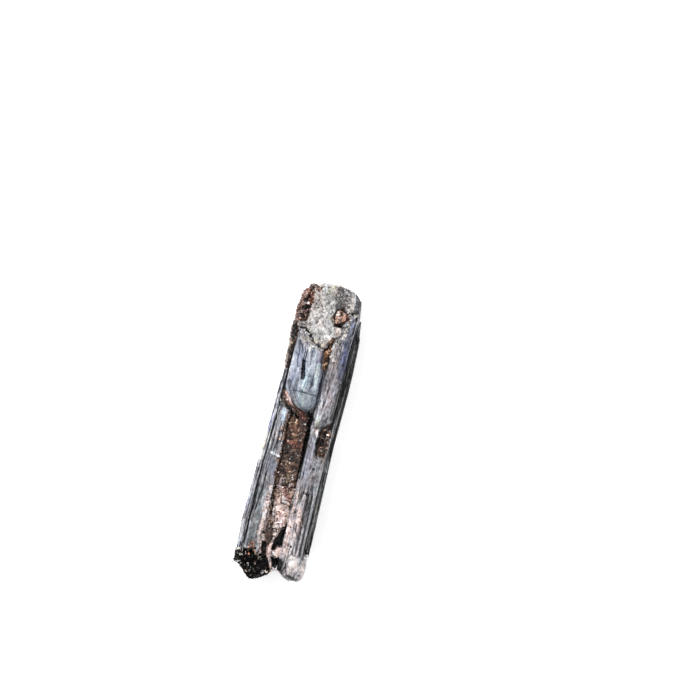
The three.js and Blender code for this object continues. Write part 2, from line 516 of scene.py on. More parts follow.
def carve(piece, node, seed, marks, lath=(0.9, 14, 1.3), step=0.22, furrow=0.1, crack=0.3, lines=0.07,
          chips=0.15, splinter=0.8, wander=0.15, spread=0.08, bulge=0.0, given=None):
    """Cut laths, cracks, lines, chips and splintered ends, and fit the blade to its solid."""
    low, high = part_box(node)
    size = high - low
    board, geometry = geometry_board(piece.name + " carving")
    place = place_in_mm(board)
    outward = board.node("GeometryNodeInputNormal")
    across, along, up = board.split(place)
    upper = board.between(up * MM / size.z, low.z / size.z + 0.35, low.z / size.z + 0.9)

    bend = (board.grain(place, (2.5, 14, 2.5), seed, detail=1.0) - 0.5) * 0.7
    bent = board.vector("ADD", place, board.join(bend, 0.0, bend))
    laths = board.cells(bent, lath, seed, "SMOOTH_F1", Smoothness=0.12)
    tone, length, _ = board.split(laths.out("Color"))
    strips = board.cells(bent, tuple(s * 0.45 for s in lath), seed + 3, "SMOOTH_F1", Smoothness=0.1)
    strip_tone, _, _ = board.split(strips.out("Color"))
    edge = board.between(board.cells(bent, lath, seed, "DISTANCE_TO_EDGE"), 0.0, 0.12, 1.0, 0.0)
    opened = edge * board.between(board.grain(place, (2, 5, 2), seed + 6, detail=2.0), 0.5, 0.62)
    line = board.grain(place, (0.22, 5, 0.28), seed + 1, detail=2.0) - 0.5
    chip = board.between(board.grain(place, (0.7, 1.4, 0.7), seed + 2, detail=2.0), 0.6, 0.72)

    fine = (strip_tone - 0.5) * (step * 0.6) - edge * furrow + line * (lines * 2) - chip * chips
    waves = (board.grain(place, (3, 9, 3), seed + 4) - 0.5) * (wander * 2)
    height = fine + (tone - 0.5) * step - opened * crack + waves
    carved = board.vector("MULTIPLY_ADD", outward, board.join(height, 0.0, height), place)
    masks = mark_masks(board, place, marks)
    raised = total(board, marks, masks, "rise") * upper
    half = (across - (low.x + high.x) / 2 / MM) / (size.x / 2 / MM)
    raised = raised - board.maths("ABSOLUTE", half) ** 3.0 * bulge * upper
    carved = board.vector("ADD", carved, board.join(0.0, 0.0, raised))

    run = (along - low.y / MM) / (size.y / MM)
    end_reach = SPLINTERED_END / size.y
    foot_end = board.between(run, 0.0, end_reach, 1.0, 0.0)
    cap_end = board.between(run, 1.0 - end_reach, 1.0)
    pushed = (cap_end - foot_end) * (length - 0.75) * (splinter * 2)
    carved = board.vector("ADD", carved, board.join(0.0, pushed, 0.0))

    fitted = fit(board, node, carved, run, given or {}, spread)
    # The relief is stored for painted shade: low places and cracks are coloured darker, high ones lighter.
    geometry = keep_number(board, geometry, "relief", fine * 1.5 - opened * 0.4)
    geometry = keep_number(board, geometry, "tone", tone)
    geometry = board.node("GeometryNodeSetPosition", sockets={"Geometry": geometry, "Position": fitted})
    apply_geometry(piece, board, geometry)
    finish_mesh(piece)


# %% [markdown]
# ## Rock and mica
#
# The mica and the schist aren't blades. Each is a rough mass, and its solid
# already has the right outline. So a copy of the solid is merged into one skin,
# remeshed into small even faces, smoothed to lose its edges, and crumbled by
# noise of a few sizes.

# %% Rough masses
def remesh(piece, voxel=0.14, rounding=6):
    """Give a closed shape small even faces and rounded edges."""
    apply_modifier(piece, "REMESH", mode="VOXEL", voxel_size=voxel * MM)
    apply_modifier(piece, "SMOOTH", factor=0.6, iterations=rounding)
    print(piece.name, "remeshed:", len(piece.data.polygons), "faces")


def rough_out(name, node):
    """A copy of a CAD solid, merged into one skin."""
    piece = copy_of(frame["nodes"][node], name)
    piece.data.materials.clear()
    only(piece)
    bpy.ops.object.mode_set(mode="EDIT")
    bpy.ops.mesh.select_all(action="SELECT")
    bpy.ops.mesh.remove_doubles(threshold=0.001 * MM)
    bpy.ops.object.mode_set(mode="OBJECT")
    return piece


def crumble(piece, seed, lumps, marks=(), swell=0.0, skin=(0.0, 0.3)):
    """Push the surface in and out by noise. Each lump is its size in X, Y and Z, and its height.
    Skin is the range of tones between the flakes."""
    board, geometry = geometry_board(piece.name + " crumbling")
    place = place_in_mm(board)
    outward = board.node("GeometryNodeInputNormal")
    facing_up = board.between(board.split(outward)[2], 0.2, 0.8)
    height = swell
    for i, (size, rise) in enumerate(lumps):
        height = (board.grain(place, size, seed + i, detail=2.0) - 0.5) * (2 * rise) + height
    smallest, rise = lumps[-1]
    tone, _, _ = board.split(board.cells(place, smallest, seed + 9).out("Color"))
    height = height + (tone - 0.5) * rise
    moved = board.vector("MULTIPLY_ADD", outward, board.join(height, height, height), place)
    raised = total(board, marks, mark_masks(board, place, marks), "rise") * facing_up
    moved = board.vector("ADD", moved, board.join(0.0, 0.0, raised))
    x, y, z = board.split(board.vector("SCALE", moved, scale=MM))
    moved = board.join(x, y, board.maths("MAXIMUM", z, 0.0))
    # The relief is stored for painted shade: hollows between the lumps are coloured darker.
    geometry = keep_number(board, geometry, "relief", height - swell)
    darkest, lightest = skin
    geometry = keep_number(board, geometry, "tone", tone * (lightest - darkest) + darkest)
    geometry = board.node("GeometryNodeSetPosition", sockets={"Geometry": geometry, "Position": moved})
    apply_geometry(piece, board, geometry)
    finish_mesh(piece, 50)


# %% [markdown]
# ## Mica flakes
#
# Mica splits into leaves, and a mass of it is thousands of small leaves at all
# angles. Three leaves are modelled one by one, each a flat disc of a few sides whose
# rim is pulled out of round, and one of them a stack of three. Geometry nodes
# then strew copies over a rough mass, turned, tilted and sized at random, and
# make them real, each with its own `tone`.

# %% Flake models
LEAF = 1.0 * MM
flake_models = bpy.data.collections.new("flake models")
bpy.context.scene.collection.children.link(flake_models)


def flake_model(name, corners, stretch, pull, leaves=1, thickness=0.05):
    """A leaf of mica one millimetre across, or a stack of leaves."""
    bpy.ops.object.select_all(action="DESELECT")
    bpy.ops.mesh.primitive_cylinder_add(vertices=corners, radius=LEAF / 2, depth=thickness * MM)
    leaf = bpy.context.object
    leaf.name = name
    points = leaf.data.vertices
    bpy.ops.object.mode_set(mode="EDIT")
    bpy.ops.mesh.select_all(action="SELECT")
    bpy.ops.transform.resize(value=(stretch, 1 / stretch, 1))
    for axis, way, shift in ((0, 1, (pull, 0.1, 0.05)), (1, -1, (0.06, pull, -0.04))):
        direction = edge_direction(leaf)
        pick_edges(leaf, lambda item: direction(item) == 2
                   and points[item.vertices[0]].co[axis] * way > LEAF / 4)
        bpy.ops.transform.translate(value=Vector(shift) * MM)
    bpy.ops.object.mode_set(mode="OBJECT")
    if leaves > 1:
        shift = Vector((0.09, 0.06, 1.5 * thickness)) * MM
        apply_modifier(leaf, "ARRAY", count=leaves, use_relative_offset=False,
                       use_constant_offset=True, constant_offset_displace=shift)
    bpy.context.scene.collection.objects.unlink(leaf)
    flake_models.objects.link(leaf)


flake_model("broad leaf", 7, 1.15, 0.12)
flake_model("long leaf", 6, 1.35, -0.1)
flake_model("stack of leaves", 5, 1.05, 0.08, leaves=3)


# %% Strew flakes
EVERY_WAY = -2.0


def strew(piece, per_mm2, size, tilt, seed, tone=(0.1, 1.0), upward=EVERY_WAY, long=1.0, marks=None):
    """Cover faces that look upward enough with flakes, or only where the marks are. Sizes in mm."""
    board, skin = geometry_board(piece.name + " flakes")
    facing = board.split(board.node("GeometryNodeInputNormal"))[2]
    density = per_mm2 / MM ** 2
    if marks:
        place = place_in_mm(board)
        cover = 0.0
        for mask in mark_masks(board, place, marks, 0.8):
            cover = board.maths("MAXIMUM", cover, mask)
        density = cover * density
    wanted = {"Mesh": skin, "Selection": board.maths("GREATER_THAN", facing, upward),
              "Density": density, "Seed": seed}
    points = board.node("GeometryNodeDistributePointsOnFaces", sockets=wanted)
    lean = math.radians(tilt)
    turn = board.chance((-lean, -lean, 0.0), (lean, lean, math.tau), seed + 1)
    turn = board.node("FunctionNodeEulerToRotation", sockets={0: turn})
    sockets = {"Rotation": points.out("Rotation"), "Rotate By": turn}
    turned = board.node("FunctionNodeRotateRotation", {"rotation_space": "LOCAL"}, sockets)
    small, large = size
    across = board.chance(0.0, 1.0, seed + 2) ** 2.0 * (large - small) + small
    length = across * board.chance(0.75, 1.3, seed + 3) * long
    sockets = {"Collection": flake_models, "Separate Children": True, "Reset Children": True}
    models = board.node("GeometryNodeCollectionInfo", sockets=sockets)
    wanted = {"Points": points, "Pick Instance": True, "Rotation": turned, "Instance": models,
              "Scale": board.join(length, across, board.chance(0.7, 1.4, seed + 4))}
    flakes = board.node("GeometryNodeInstanceOnPoints", sockets=wanted)
    sockets = {"Geometry": flakes, "Name": "tone", "Value": board.chance(*tone, seed + 5)}
    settings = {"data_type": "FLOAT", "domain": "INSTANCE"}
    flakes = board.node("GeometryNodeStoreNamedAttribute", settings, sockets)
    flakes = board.node("GeometryNodeRealizeInstances", sockets={0: flakes})
    if not marks:
        flakes = board.node("GeometryNodeJoinGeometry", sockets={0: [skin, flakes]})
    x, y, z = board.split(board.node("GeometryNodeInputPosition"))
    above = board.join(x, y, board.maths("MAXIMUM", z, 0.0))
    flakes = board.node("GeometryNodeSetPosition", sockets={"Geometry": flakes, "Position": above})
    apply_geometry(piece, board, flakes)
    finish_mesh(piece, 30)
    print(piece.name, "with flakes:", len(piece.data.polygons), "faces")


# %% [markdown]
# ## Finishes
#
# Kyanite is grey, violet or blue and paler where it is bruised, and its furrows
# are given painted shade, nearly black. It could be painted, but paint on a map
# would know nothing of the laths. So one value per point is added up from the
# stored relief, which paints shade into low places and light onto high ones, from
# fine fibres along the blade, from round flecks and from the marks, and a ramp
# turns the value into colour. Slow clouds and the marks then tint it. A clear
# crystal also lets some light through, with kyanite's own refraction.

# %% New materials
def new_material(name):
    """A material, its board, its shader, and the place of each point in millimetres."""
    material = bpy.data.materials.new(name)
    material.use_nodes = True
    board = Board(material.node_tree)
    place = board.vector("SCALE", board.node("ShaderNodeTexCoord").out("Object"), scale=1 / MM)
    return material, board, material.node_tree.nodes["Principled BSDF"], place


def stored(board, name):
    """A number that the modelling left on the points."""
    return board.node("ShaderNodeAttribute", {"attribute_name": name}).out("Fac")


def feed(board, shader, **sockets):
    """Connect wires to a shader's sockets, and set plain numbers on them."""
    for name, value in sockets.items():
        socket = shader.inputs[name.replace("_", " ").title().replace("Ior", "IOR")]
        if isinstance(value, Wire):
            board.tree.links.new(value.socket, socket)
        else:
            socket.default_value = value


def coloured(board, place, value, stops, marks, seed, hues=0.12):
    """The ramp's colour for a value, with the shade and the tint of the marks, and slow clouds of hue."""
    masks = mark_masks(board, place, marks)
    colour = board.ramp(value + total(board, marks, masks, "shade"), stops)
    warmth = board.between(board.grain(place, (1.6, 3.0, 1.6), seed + 20, detail=3.0), 0.3, 0.7)
    warm, cool = (1 + hues, 1.0, 1 - hues / 2, 1.0), (1 - hues, 1.0, 1 + hues, 1.0)
    colour = board.blend(colour, board.blend(cool, warm, warmth), 1.0, "MULTIPLY")
    for item, mask in zip(marks, masks):
        if item.tint:
            colour = board.blend(colour, (*item.tint, 1.0), mask, "MULTIPLY")
    return colour


# %% Kyanite
def kyanite(name, stops, seed, marks=(), contrast=1.0, bright=0.04, bands=0.4, fibrous=1.0, rough=0.35,
            coat=0.3, clear=0.0, hues=0.07):
    """Kyanite with its own ramp of colours. Bands is how much the laths differ, and fibrous how
    strong the lines along the blade are."""
    material, board, shader, place = new_material(name)
    fibres = board.grain(place, (0.15, 3.0, 0.2), seed, detail=4.0, roughness=0.65) - 0.5
    dashes = board.grain(place, (0.2, 0.8, 0.2), seed + 3, detail=3.0, roughness=0.7) - 0.5
    flecks = board.grain(place, (0.5, 0.8, 0.5), seed + 5, detail=5.0, roughness=0.75) - 0.5
    clouds = board.grain(place, (1.5, 4.0, 1.5), seed + 7, detail=2.0) - 0.5
    lines = fibres * (0.9 * fibrous) + dashes * fibrous
    # Painted shade and light: the stored relief darkens low places and lightens high ones.
    value = stored(board, "relief") + lines + flecks * 1.5 + clouds * 0.9
    value = (value + (stored(board, "tone") - 0.5) * bands) * contrast + 0.5 + bright
    colour = coloured(board, place, value, stops, marks, seed, hues)
    sockets = {"Strength": 0.7, "Distance": 0.1 * MM, "Height": lines + flecks}
    surface = board.node("ShaderNodeBump", {}, sockets)
    dull = board.between(flecks, -0.2, 0.2, rough - 0.12, rough + 0.15)
    feed(board, shader, base_color=colour, normal=surface, roughness=dull)
    feed(board, shader, coat_weight=coat, coat_roughness=0.2, transmission_weight=clear, ior=1.72)
    return material


# %% [markdown]
# Mica glitters because each leaf mirrors the light at its own angle. Painted
# normals could fake that. Here the leaves are real, so the finish only gives each
# one its own value and a thin glossy coat. Schist is mica in grains too small to
# see, drawn out into streaks, so it is the same finish with streaks added.

# %% Mica and schist
def mica(name, stops, seed, marks=(), rough=0.28, metal=0.2, coat=0.4, gloss=0.5, cloudy=0.9, hues=0.12,
         streaks=0.0):
    """Flaky mica, coloured by the tone of each flake. Streaks run across it, down to the right."""
    material, board, shader, place = new_material(name)
    cloud = board.grain(place, (1.0, 1.3, 1.0), seed, detail=3.0) - 0.5
    speck = board.grain(place, (0.15, 0.15, 0.15), seed + 2, detail=2.0) - 0.5
    # The stored relief adds painted shade in the hollows of a mass and painted light on its lumps.
    value = stored(board, "tone") + cloud * cloudy + speck * 0.4 + stored(board, "relief") * 0.4
    if streaks:
        sockets = {"Vector": place, "Angle": math.radians(-40)}
        turned = board.node("ShaderNodeVectorRotate", {"rotation_type": "Z_AXIS"}, sockets)
        streak = board.grain(turned, (0.16, 1.6, 0.4), seed + 4, detail=4.0, roughness=0.65) - 0.5
        value = value + streak * streaks
        speck = speck + streak * streaks
    colour = coloured(board, place, value, stops, marks, seed, hues)
    sockets = {"Strength": 0.5, "Distance": 0.04 * MM, "Height": speck}
    surface = board.node("ShaderNodeBump", {}, sockets)
    dull = board.between(cloud, -0.2, 0.2, rough - 0.08, rough + 0.15)
    feed(board, shader, base_color=colour, normal=surface, roughness=dull)
    feed(board, shader, metallic=metal, coat_weight=coat, coat_roughness=0.15, specular_ior_level=gloss)
    return material


# %% [markdown]
# A ramp is a list of stops: a place from 0 to 1, and a linear colour. Each runs
# from nearly black, the painted shade of a crevice, to the pale of a bright edge,
# a painted highlight, so that one number is enough to shade a whole mineral.

# %% Colours
BLACK = (0.006, 0.006, 0.007)
GREY = [(0.0, BLACK), (0.2, (0.045, 0.045, 0.05)), (0.42, (0.155, 0.15, 0.165)),
        (0.62, (0.29, 0.28, 0.3)), (0.95, (0.78, 0.77, 0.78))]
PALE = [(0.0, BLACK), (0.2, (0.06, 0.06, 0.07)), (0.42, (0.25, 0.25, 0.28)),
        (0.6, (0.5, 0.5, 0.54)), (0.85, (0.95, 0.94, 0.95))]
DARK = [(0.0, (0.004, 0.004, 0.005)), (0.3, (0.02, 0.021, 0.022)), (0.5, (0.06, 0.063, 0.065)),
        (0.7, (0.16, 0.165, 0.165)), (0.95, (0.55, 0.55, 0.56))]
BLUE = [(0.0, (0.008, 0.012, 0.025)), (0.2, (0.07, 0.085, 0.12)), (0.42, (0.25, 0.28, 0.345)),
        (0.62, (0.46, 0.5, 0.56)), (0.9, (0.95, 0.98, 1.0))]
BROWN = [(0.0, (0.004, 0.003, 0.002)), (0.25, (0.022, 0.012, 0.009)), (0.5, (0.09, 0.045, 0.03)),
         (0.75, (0.22, 0.125, 0.085)), (1.0, (0.5, 0.37, 0.28))]
BLACK_MICA = [(0.0, (0.0, 0.0, 0.0)), (0.65, (0.002, 0.0015, 0.0015)), (0.85, (0.03, 0.02, 0.015)),
              (0.93, (0.22, 0.17, 0.14)), (1.0, (0.85, 0.8, 0.75))]
PINK = [(0.0, (0.008, 0.005, 0.004)), (0.2, (0.1, 0.06, 0.045)), (0.4, (0.34, 0.235, 0.205)),
        (0.7, (0.52, 0.4, 0.37)), (1.0, (0.88, 0.79, 0.74))]
CREAM = [(0.0, (0.04, 0.035, 0.032)), (0.15, (0.2, 0.185, 0.175)), (0.4, (0.47, 0.445, 0.43)),
         (0.7, (0.74, 0.715, 0.69)), (1.0, (1.0, 0.98, 0.95))]


# %% [markdown]
# ## The crystals
#
# Each crystal is cut in the same way, with its own seed, its own size of lath,
# its own colours and its own marks. A finished piece rides on the cluster's one
# body, goes into a material slot, and takes the place of its plain solid.

# %% Placing a piece
def place_piece(piece, material, node=None):
    """Give a piece its finish, and let it stand for a solid of the frame where a node is named."""
    piece.data.materials.clear()
    piece.data.materials.append(material)
    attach(piece, "root")
    top = max(corner[2] for corner in piece.bound_box) / MM
    print(f"{piece.name}: {len(piece.data.polygons)} faces, up to {top:.1f} mm")
    if node:
        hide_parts(node)


def crystal(node, seed, finish, stops, marks=(), blank=None, cut=None):
    """Cut one crystal. Finish holds settings of its material, blank and cut those of its shape."""
    piece = blade_blank(node + "_crystal", node, **(blank or {}))
    carve(piece, node, seed, marks, **(cut or {}))
    place_piece(piece, kyanite(node + " finish", stops, seed / 10, marks, **finish), node)
    return piece


# %% [markdown]
# ### Rims
#
# Thin plates stand on edge along both sides of the cluster, and only their upper
# edges show from above, as fine lines. One wide blade with grooves would look the
# same from there, but not from the side. So each plate is its own crystal with
# narrow laths, pale on the left and dark on the right.

# %% Rims
THIN = {"splinter": 1.4, "lath": (0.45, 18, 0.8), "step": 0.2, "wander": 0.1, "lines": 0.06, "crack": 0.3}
RIM_BLANK = {"edge": 0.15, "column": 0.06}
LINED = {"bands": 0.7, "contrast": 0.85, "bright": 0.06}
DIM = {"bands": 1.0, "contrast": 1.2, "bright": -0.14}
left_outer_marks = [
    mark((-6.4, 32.8), (-6.5, 29.8), 0.4, tint=(0.9, 0.92, 1.07)),
    mark((-6.7, 28.8), (-6.8, 23.8), 0.4, shade=0.18, tint=(1.05, 1.02, 0.93)),
]
left_inner_marks = [
    mark((-6.1, 29.3), (-6.3, 23.8), 0.3, shade=0.3, tint=(1.05, 1.02, 0.95)),
    # A groove cut along the plate, with painted shade in it.
    mark((-5.4, 34.8), (-5.9, 22.8), 0.14, rise=-0.5, shade=-0.7),
    mark((-5.9, 22.8), (-6, 6.8), 0.17, rise=-0.5, shade=-0.8),
]
right_inner_marks = [
    mark((5.9, 16.8), (6, 7.8), 0.12, rise=0.15, shade=0.5),
    # A painted glint beside the pocket.
    mark((6, 30.7), None, 0.3, shade=0.9, tint=(1.1, 0.97, 0.93)),
]
crystal("left_rim_outer", 1, LINED, PALE, left_outer_marks, RIM_BLANK, THIN)
crystal("left_rim_inner", 12, LINED, PALE, left_inner_marks, RIM_BLANK, THIN)
crystal("right_rim_inner", 23, DIM, DARK, right_inner_marks, RIM_BLANK, THIN)
crystal("right_rim_outer", 34, DIM, DARK, [], RIM_BLANK, THIN)

# %% [markdown]
# ### Left blade
#
# The left blade runs the whole length, first under the inset crystal and then in
# the open. Its face is smoother than a rim's, so its steps and cracks are lower.
# The marks give it a sky-blue painted highlight, a raised step across it with a
# painted white highlight, painted shade in a crevice and in two pits, a pink edge
# beside the mica and a rusty stain at its foot.

# %% Left blade
SMOOTHER = {"step": 0.14, "furrow": 0.06, "crack": 0.2, "lines": 0.05}
left_marks = [
    # A painted sky-blue highlight.
    mark((-4.1, 34.4), (-4, 32.6), 0.45, shade=0.35, tint=(0.82, 0.97, 1.12)),
    # A crevice cut along the edge, with painted shade in it.
    mark((-5.3, 45.8), (-5.3, 36.3), 0.3, rise=-0.6, shade=-0.9),
    # A raised step with a painted white highlight on it.
    mark((-4.7, 25.5), (-3, 25.1), 0.25, rise=0.3, shade=0.5),
    mark((-4.4, 24.1), (-3.7, 21.3), 0.8, shade=-0.05, tint=(0.92, 0.96, 1.06)),
    mark((-3.3, 18.8), (-3.2, 8.8), 0.45, shade=0.2, tint=(1.1, 0.99, 0.93)),
    # Pits with painted shade in them.
    mark((-3.4, 16.7), None, 0.25, rise=-0.4, shade=-0.8),
    mark((-3.5, 31), None, 0.25, rise=-0.4, shade=-0.6),
    mark((-3.1, 15.8), None, 0.4, shade=0.2, tint=(1.12, 0.9, 0.93)),
    mark((-4.8, 17.8), (-4.6, 7.8), 0.7, shade=0.04, tint=(0.95, 1.04, 1.0)),
    mark((-5.5, 6.1), (-3.5, 5.9), 0.35, shade=0.35, tint=(1.0, 1.06, 0.96)),
    mark((-4.4, 7.2), (-3.9, 5.6), 0.55, rise=-0.2, shade=-0.3, tint=(1.15, 0.82, 0.7)),
    mark((-4, 26.4), (-3.9, 27.8), 0.5, shade=-0.15),
    mark((-4.5, 32), (-4.2, 28.8), 0.9, shade=0.08),
]
crystal("left_blade", 45, {"bands": 0.2, "contrast": 0.9, "bright": 0.03}, GREY,
        left_marks, cut=SMOOTHER)

# %% [markdown]
# ### Middle blade
#
# Mica covers the middle blade almost everywhere, so its columns can be wider. It
# shows only at the foot, where two deep hollows are cut into it and painted black
# as shade.

# %% Middle blade
middle_marks = [
    # Both hollows are painted black as shade.
    mark((1.1, 5.3), (1.3, 2.8), 0.8, rise=-1.8, shade=-1.0),
    mark((1, 11.8), (0.7, 6.8), 1.2, rise=-1.5, shade=-1.2),
]
crystal("middle_blade", 56, {}, GREY, middle_marks, {"column": 0.14, "row": 0.4})

# %% [markdown]
# ### Right blade
#
# The right blade carries the upper one. A pocket is cut into it under the broken
# end of that blade and given painted shade, small pits with painted shade are
# strewn along it, painted shade darkens crevices and a hollow along it, and it
# turns pink towards the foot. Its solid includes the wider knob, so its right side
# is held in by a few stops of its own.

# %% Right blade
right_marks = [
    # The pocket, with painted shade at its back.
    mark((5, 31.4), (5.1, 27.5), 0.85, rise=-1.9, shade=-0.8),
    mark((2.1, 18.8), (2.3, 5.8), 0.45, shade=0.12, tint=(1.08, 0.97, 0.94)),
    mark((1.8, 31.8), (1.9, 21.8), 0.16, rise=-0.4, shade=-0.6),
    mark((3, 31.8), (3.5, 30.8), 0.3, rise=0.15, shade=0.4, tint=(1.15, 0.98, 0.95)),
    mark((2.8, 28.8), (2.9, 22.8), 0.7, tint=(0.93, 0.95, 1.06)),
    # Pits with painted shade in them.
    mark((4.2, 24.2), None, 0.3, rise=-0.5, shade=-0.8),
    mark((4.2, 19), None, 0.35, rise=-0.5, shade=-0.8),
    mark((2.7, 15), None, 0.25, rise=-0.4, shade=-0.7),
    mark((3.4, 8.1), None, 0.28, rise=-0.5, shade=-0.7),
    mark((4.4, 23.2), (4.2, 19.8), 0.35, shade=0.1, tint=(1.12, 0.97, 0.95)),
    mark((3.6, 15.8), (3.8, 12.8), 0.6, shade=0.12, tint=(1.1, 0.97, 0.94)),
    mark((3.3, 18.8), (3.5, 11.8), 1.5, shade=0.06, tint=(1.04, 0.98, 0.95)),
    mark((3.4, 12.3), (3.5, 3.3), 1.7, shade=0.22, tint=(1.04, 0.98, 0.95)),
    # A hollow with painted shade in it.
    mark((2.1, 4.6), (2.4, 2.4), 0.65, rise=-1.5, shade=-1.0),
    mark((4.9, 5.2), (5.9, 4.4), 1.3, rise=-0.9, shade=0.2),
    mark((4.6, 3.4), (5.7, 2.6), 1.3, rise=-0.9, shade=0.1),
    mark((5.3, 18.8), (5.5, 6.8), 0.2, rise=-0.6, shade=-0.9),
    mark((3.5, 13), (3.6, 11.2), 0.16, rise=-0.4, shade=-0.8),
    mark((4.7, 22.8), (4.9, 15.8), 0.3, shade=-0.2),
]
right_held = {"right": [(0.0, 0.6), (0.08, 0.765), (0.84, 0.765), (0.86, 0.85), (0.93, 0.83), (1.0, 0.74)]}
right = crystal("right_blade", 67, {"bands": 0.25, "contrast": 0.8, "bright": 0.06}, GREY,
                right_marks, cut={**SMOOTHER, "given": right_held})

# %% [markdown]
# The knob is bruised crystal that the laths don't reach. It could be squeezed out
# of the same box, but its surface is granular, so it is a shape of its own: a
# block almost as high as the blade, with its upright edges bevelled first and
# then its upper and lower ones. It is remeshed and crumbled, and joined to the
# blade.

# %% Knob of the right blade
KNOB_LENGTH = 5.8 * MM
KNOB_STEP_IN = 1.5 * MM
KNOB_STEP_DOWN = 0.3 * MM
low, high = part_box("right_blade")
knob_low = Vector((low.x + KNOB_STEP_IN, low.y, KNOB_STEP_DOWN))
knob_high = Vector((high.x, low.y + KNOB_LENGTH, high.z - KNOB_STEP_DOWN))
knob = block("knob", knob_low, knob_high)
bpy.ops.object.mode_set(mode="EDIT")
direction = edge_direction(knob)
pick_edges(knob, lambda item: direction(item) == 2)
bpy.ops.mesh.bevel(offset=1.5 * MM, segments=4, profile=0.5)
direction = edge_direction(knob)
pick_edges(knob, lambda item: direction(item) != 2)
bpy.ops.mesh.bevel(offset=0.8 * MM, segments=3, profile=0.5)
bpy.ops.object.mode_set(mode="OBJECT")
remesh(knob, 0.13)
crumble(knob, 71, [((2.4, 3.0, 2.4), 0.4), ((0.9, 1.3, 0.9), 0.2), ((0.35, 0.35, 0.35), 0.09)])
knob_marks = [
    mark((4.9, 4.8), (6.1, 3.6), 0.9, shade=0.08),
    mark((4.3, 8.8), (4.5, 1.8), 4.0, tint=(1.1, 1.0, 0.91)),
    mark((3.9, 2.2), (5.7, 1.8), 0.4, shade=-0.35),
    mark((5.9, 7.3), (6.1, 6.4), 0.5, shade=-0.35),
]
bruised = kyanite("bruised kyanite", PALE, 7.1, knob_marks, contrast=0.9, bright=0.1, fibrous=0.4, coat=0.2)
knob.data.materials.append(bruised)
only(right, knob)
bpy.ops.object.join()
print("right blade with its knob:", len(right.data.polygons), "faces")

# %% [markdown]
# ### Inset crystal
#
# The clearest and bluest crystal lies in the others like a boat, with a rounded
# tip, a crack across it and an open slot in its face. The slot, the crack and its
# right edge get painted shade, its lower left edge is darkened with painted shade,
# and teal streaks on its face are painted highlights. It could be bevelled to that
# shape, but its tip falls away slowly. So a few stops bend its top down, the bulge
# rounds its long edges, and it is divided finely enough for the slot.

# %% Inset crystal
inset_marks = [
    # The slot, with painted shade in it.
    mark((-2.4, 47.2), (-2.4, 44.8), 0.15, rise=-0.5, shade=-0.7),
    mark((-2.4, 44.8), (-2.3, 42.8), 0.3, rise=-0.8, shade=-0.8, tint=(0.8, 0.95, 1.15)),
    mark((-2.3, 43.2), (-2, 41.5), 0.4, rise=-0.9, shade=-0.65, tint=(0.8, 0.95, 1.15)),
    mark((-1.7, 49.7), (-2, 47), 0.17, rise=0.2, shade=0.35, tint=(1.08, 1.06, 0.95)),
    mark((-1.9, 47.1), (-1.6, 44), 0.17, rise=0.1),
    mark((-1.3, 47.1), (-1.2, 44.3), 0.12, shade=-0.3),
    mark((-3.8, 46.3), (-3.7, 40.8), 0.9, tint=(0.96, 0.96, 1.06)),
    mark((-3.6, 50.8), (-3.5, 48.1), 1.3, shade=-0.1, tint=(1.08, 0.95, 0.9)),
    # Painted teal highlights.
    mark((-1.3, 41.6), (-1.5, 39.3), 0.4, shade=0.3, tint=(0.88, 1.04, 1.05)),
    mark((-0.7, 46.8), (-0.6, 41.8), 0.7, shade=0.08, tint=(0.97, 1.02, 1.03)),
    mark((0.5, 44.8), (0.7, 39.8), 0.35, shade=0.2, tint=(0.97, 1.05, 0.98)),
    mark((0.2, 47.3), (0.3, 45.3), 0.5, tint=(1.08, 0.95, 1.04)),
    mark((0, 45.3), (0, 39.8), 0.12, rise=-0.15, shade=-0.25),
    mark((-2.9, 38.7), (1.5, 38.5), 0.12, rise=-0.2, shade=-0.3),
    mark((-0.8, 37.8), (-0.7, 36), 1.4, shade=0.01, tint=(0.96, 1.03, 0.96)),
    # Painted shade over the lit lower left edge.
    mark((-4.5, 40.3), (-2.7, 36.7), 0.5, shade=-0.28, tint=(1.06, 1.0, 0.94)),
    mark((1.7, 44.8), (1.7, 36.8), 0.16, shade=-0.5),
]
inset_top = [(0.0, 0.2), (0.05, 0.55), (0.12, 0.75), (0.24, 0.86), (0.5, 0.93), (1.0, 0.82)]
GLASSY = {"clear": 0.15, "coat": 0.6, "rough": 0.25, "contrast": 0.64, "bands": 0.4,
          "bright": 0.04, "fibrous": 0.7, "hues": 0.05}
FACETED = {"splinter": 0.1, "lath": (1.1, 9, 1.2), "step": 0.25, "lines": 0.03, "chips": 0.06,
           "furrow": 0.05, "crack": 0.1, "bulge": 0.9, "given": {"top": inset_top}}
crystal("inset_blade", 78, GLASSY, BLUE, inset_marks,
        {"column": 0.06, "row": 0.12, "edge": 0.6}, FACETED)

# %% [markdown]
# ### Upper right blade
#
# A second layer of kyanite lies on the right blade. An indigo zone, where the
# crystal took up titanium and iron, runs down its outer side, and it stops short
# in a ragged break. The zone is three long marks with blue tints, because a zone
# in a real crystal also follows its length.

